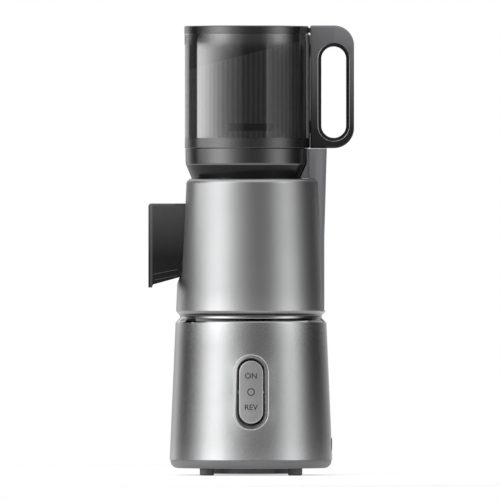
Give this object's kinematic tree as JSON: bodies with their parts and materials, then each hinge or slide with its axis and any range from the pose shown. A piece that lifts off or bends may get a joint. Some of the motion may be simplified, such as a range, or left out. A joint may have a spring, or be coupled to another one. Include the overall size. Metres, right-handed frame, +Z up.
{
  "type": "cold press juicer",
  "caption": "Upright cold press juicer: conical motor base, lift-out drum with hooded spout, wide lidded hopper with side handle and a rocker switch.",
  "frame": {"origin": "centre of the footprint on the surface that the feet stand on, with the conical base's axis a little to the side of the middle of the length", "axes": "+Z up, -X towards the spout, +X towards the handle and the rear spine, -Y towards the rocker switch"},
  "size_m": [0.2056, 0.1626, 0.4495],
  "materials": {
    "silver_shell": "satin brushed silver coat",
    "chrome": "polished",
    "grey_plastic": "fine-grained moulded plastic",
    "dark_plastic": "satin moulded plastic",
    "gloss_black": "polished",
    "smoked_clear": "clear smoked plastic, polished",
    "switch_silver": "satin silver coat",
    "handle_grey": "satin soft-touch coat",
    "foot_rubber": "matt",
    "seal_silicone": "smooth silicone",
    "steel": "machined",
    "copper": "enamelled winding",
    "cast_alloy": "cast",
    "gear_plastic": "moulded",
    "board": "lacquered laminate"
  },
  "bodies": {
    "base": {"base_shell": "silver_shell", "base_screws": "steel", "base_plate": "grey_plastic", "foot_1": "foot_rubber", "foot_2": "foot_rubber", "foot_3": "foot_rubber", "foot_4": "foot_rubber", "chrome_ring": "chrome", "deck_plate": "dark_plastic", "gearbox_screws": "steel", "body_sleeve": "silver_shell", "rear_spine": "grey_plastic", "reed_switch": "dark_plastic", "switch_bezel": "chrome", "switch_block": "dark_plastic", "rocker_pin": "steel", "cord_gland": "foot_rubber", "motor_can": "steel", "motor_stator": "steel", "motor_coils": "copper", "lower_bearing": "steel", "upper_bearing": "steel", "motor_mount": "cast_alloy", "gearbox_case": "gear_plastic", "ring_gear": "gear_plastic", "gearbox_cover": "cast_alloy", "output_bearing": "steel", "shaft_seal": "seal_silicone", "control_board": "board"},
    "rotor": {"rotor_shaft": "steel", "rotor_core": "steel", "cooling_fan": "dark_plastic", "sun_gear": "steel"},
    "output": {"planet_carrier": "steel", "output_shaft": "steel"},
    "planet_a": {"planet_gear_a": "gear_plastic"},
    "planet_b": {"planet_gear_b": "gear_plastic"},
    "planet_c": {"planet_gear_c": "gear_plastic"},
    "drum": {"drum_bowl": "smoked_clear", "hub_seal": "seal_silicone", "drum_collar": "gloss_black", "strainer_cage": "dark_plastic", "strainer_screen": "steel", "spout_hood": "gloss_black", "juice_nozzle": "dark_plastic", "pulp_nozzle": "dark_plastic"},
    "auger": {"auger": "dark_plastic", "auger_blade": "gear_plastic"},
    "gasket": {"hopper_gasket": "seal_silicone"},
    "hopper": {"hopper_base": "gloss_black", "hopper_tube": "smoked_clear", "feed_liner": "smoked_clear", "handle_body": "handle_grey", "handle_liner": "handle_grey", "handle_magnet": "steel", "hinge_pin": "steel"},
    "lid": {"hopper_lid": "gloss_black"},
    "rocker": {"rocker": "switch_silver"}
  },
  "joints": [
    {"name": "rotor_spin", "type": "hinge", "parent": "base", "child": "rotor", "pos_m": [-0.004, 0, 0.05], "axis": [0, 0, 1], "continuous": true},
    {"name": "output_spin", "type": "hinge", "parent": "base", "child": "output", "pos_m": [-0.004, 0, 0.12], "axis": [0, 0, 1], "continuous": true},
    {"name": "planet_a_spin", "type": "hinge", "parent": "output", "child": "planet_a", "pos_m": [0.01625, 0, 0.1], "axis": [0, 0, 1], "continuous": true},
    {"name": "planet_b_spin", "type": "hinge", "parent": "output", "child": "planet_b", "pos_m": [-0.01413, 0.01754, 0.1], "axis": [0, 0, 1], "continuous": true},
    {"name": "planet_c_spin", "type": "hinge", "parent": "output", "child": "planet_c", "pos_m": [-0.01413, -0.01754, 0.1], "axis": [0, 0, 1], "continuous": true},
    {"name": "drum_lift", "type": "slide", "parent": "base", "child": "drum", "axis": [0, 0, 1], "range_m": [0, 0.15]},
    {"name": "auger_spin", "type": "hinge", "parent": "drum", "child": "auger", "pos_m": [-0.004, 0, 0.25], "axis": [0, 0, 1], "continuous": true},
    {"name": "hopper_lift", "type": "slide", "parent": "drum", "child": "gasket", "axis": [0, 0, 1], "range_m": [0, 0.12]},
    {"name": "hopper_turn", "type": "hinge", "parent": "gasket", "child": "hopper", "pos_m": [-0.004, 0, 0.33], "axis": [0, 0, 1], "range_deg": [0, 30]},
    {"name": "lid_hinge", "type": "hinge", "parent": "hopper", "child": "lid", "pos_m": [0.0646, 0, 0.4446], "axis": [0, 1, 0], "range_deg": [0, 100]},
    {"name": "rocker_tilt", "type": "hinge", "parent": "base", "child": "rocker", "pos_m": [0, -0.06804, 0.0833], "axis": [1, 0, 0], "range_deg": [-6, 6]}
  ],
  "couplings": [
    {"joint": "output_spin", "follows": "rotor_spin", "ratio": 0.16667},
    {"joint": "planet_a_spin", "follows": "rotor_spin", "ratio": -0.41667},
    {"joint": "planet_b_spin", "follows": "rotor_spin", "ratio": -0.41667},
    {"joint": "planet_c_spin", "follows": "rotor_spin", "ratio": -0.41667},
    {"joint": "auger_spin", "follows": "rotor_spin", "ratio": 0.16667}
  ]
}
